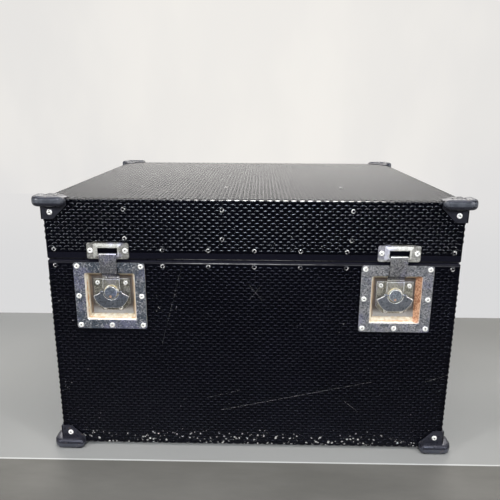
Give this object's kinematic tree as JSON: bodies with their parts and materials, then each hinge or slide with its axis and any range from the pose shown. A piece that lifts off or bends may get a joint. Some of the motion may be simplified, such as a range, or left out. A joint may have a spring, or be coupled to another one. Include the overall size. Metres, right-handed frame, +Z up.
{
  "type": "flight case",
  "caption": "Plywood equipment case under black embossed sheet, with a hinged lid, recessed rotary draw latches, capped corners and recessed end handles.",
  "frame": {"origin": "midway between the four corner beads that the case stands on, on the floor", "axes": "+Z up, -Y out of the latched front, +X to the right seen from the front"},
  "size_m": [0.658, 0.578, 0.427],
  "materials": {
    "embossed": "gloss, embossed with rows of small domes",
    "valance": "satin black",
    "corner": "worn satin black",
    "plywood": "sanded",
    "foam": "matt",
    "zinc": "dull zinc plate",
    "hub": "worn plate",
    "steel": "bright",
    "grip": "matt"
  },
  "bodies": {
    "base": {"base_bottom_panel": "plywood", "base_front_panel": "plywood", "base_back_panel": "plywood", "base_left_panel": "plywood", "base_right_panel": "plywood", "base_skin": "embossed", "base_rim": "valance", "base_corner_front_left": "corner", "base_corner_front_right": "corner", "base_corner_back_left": "corner", "base_corner_back_right": "corner", "base_foam": "foam", "left_latch_dish": "zinc", "left_latch_plate": "zinc", "right_latch_dish": "zinc", "right_latch_plate": "zinc", "left_hinge_base_leaf": "zinc", "right_hinge_base_leaf": "zinc", "left_hinge_pin": "steel", "right_hinge_pin": "steel", "left_handle_dish": "zinc", "right_handle_dish": "zinc"},
    "lid": {"lid_top_panel": "plywood", "lid_front_panel": "plywood", "lid_back_panel": "plywood", "lid_left_panel": "plywood", "lid_right_panel": "plywood", "lid_skin": "embossed", "lid_rim": "valance", "lid_corner_front_left": "corner", "lid_corner_front_right": "corner", "lid_corner_back_left": "corner", "lid_corner_back_right": "corner", "lid_foam": "foam", "lid_left_bracket": "zinc", "lid_middle_bracket": "zinc", "lid_right_bracket": "zinc", "left_keeper": "zinc", "right_keeper": "zinc", "left_hinge_lid_leaf": "zinc", "right_hinge_lid_leaf": "zinc"},
    "left_hub": {"left_latch_hub": "hub", "left_wing_pin": "steel"},
    "left_wing": {"left_latch_wing": "zinc"},
    "left_yoke": {"left_latch_yoke": "zinc", "left_hasp_pin": "steel"},
    "left_hasp": {"left_latch_hasp": "zinc"},
    "left_handle": {"left_handle_bail": "steel", "left_handle_grip": "grip"},
    "right_hub": {"right_latch_hub": "hub", "right_wing_pin": "steel"},
    "right_wing": {"right_latch_wing": "zinc"},
    "right_yoke": {"right_latch_yoke": "zinc", "right_hasp_pin": "steel"},
    "right_hasp": {"right_latch_hasp": "zinc"},
    "right_handle": {"right_handle_bail": "steel", "right_handle_grip": "grip"}
  },
  "joints": [
    {"name": "lid_hinge", "type": "hinge", "parent": "base", "child": "lid", "pos_m": [0, 0.2825, 0.3271], "axis": [-1, 0, 0], "range_deg": [0, 100]},
    {"name": "left_hub_turn", "type": "hinge", "parent": "base", "child": "left_hub", "pos_m": [-0.2225, -0.2775, 0.2734], "axis": [0, 1, 0], "range_deg": [0, 180]},
    {"name": "left_wing_lift", "type": "hinge", "parent": "left_hub", "child": "left_wing", "pos_m": [-0.2225, -0.2748, 0.2734], "axis": [-1, 0, 0], "range_deg": [0, 90]},
    {"name": "left_yoke_slide", "type": "slide", "parent": "base", "child": "left_yoke", "axis": [0, 0, 1], "range_m": [0, 0.0055]},
    {"name": "left_hasp_tilt", "type": "hinge", "parent": "left_yoke", "child": "left_hasp", "pos_m": [-0.2225, -0.2708, 0.2964], "axis": [1, 0, 0], "range_deg": [0, 12]},
    {"name": "right_hub_turn", "type": "hinge", "parent": "base", "child": "right_hub", "pos_m": [0.2225, -0.2775, 0.2734], "axis": [0, 1, 0], "range_deg": [0, 180]},
    {"name": "right_wing_lift", "type": "hinge", "parent": "right_hub", "child": "right_wing", "pos_m": [0.2225, -0.2748, 0.2734], "axis": [-1, 0, 0], "range_deg": [0, 90]},
    {"name": "right_yoke_slide", "type": "slide", "parent": "base", "child": "right_yoke", "axis": [0, 0, 1], "range_m": [0, 0.0055]},
    {"name": "right_hasp_tilt", "type": "hinge", "parent": "right_yoke", "child": "right_hasp", "pos_m": [0.2225, -0.2708, 0.2964], "axis": [1, 0, 0], "range_deg": [0, 12]},
    {"name": "left_handle_swing", "type": "hinge", "parent": "base", "child": "left_handle", "pos_m": [-0.3115, 0, 0.2371], "axis": [0, 1, 0], "range_deg": [0, 90]},
    {"name": "right_handle_swing", "type": "hinge", "parent": "base", "child": "right_handle", "pos_m": [0.3115, 0, 0.2371], "axis": [0, -1, 0], "range_deg": [0, 90]}
  ],
  "couplings": [
    {"joint": "left_yoke_slide", "follows": "left_hub_turn", "m_per_rad": 0.00175},
    {"joint": "left_hasp_tilt", "follows": "left_hub_turn", "ratio": 0.0666},
    {"joint": "right_yoke_slide", "follows": "right_hub_turn", "m_per_rad": 0.00175},
    {"joint": "right_hasp_tilt", "follows": "right_hub_turn", "ratio": 0.0666}
  ]
}
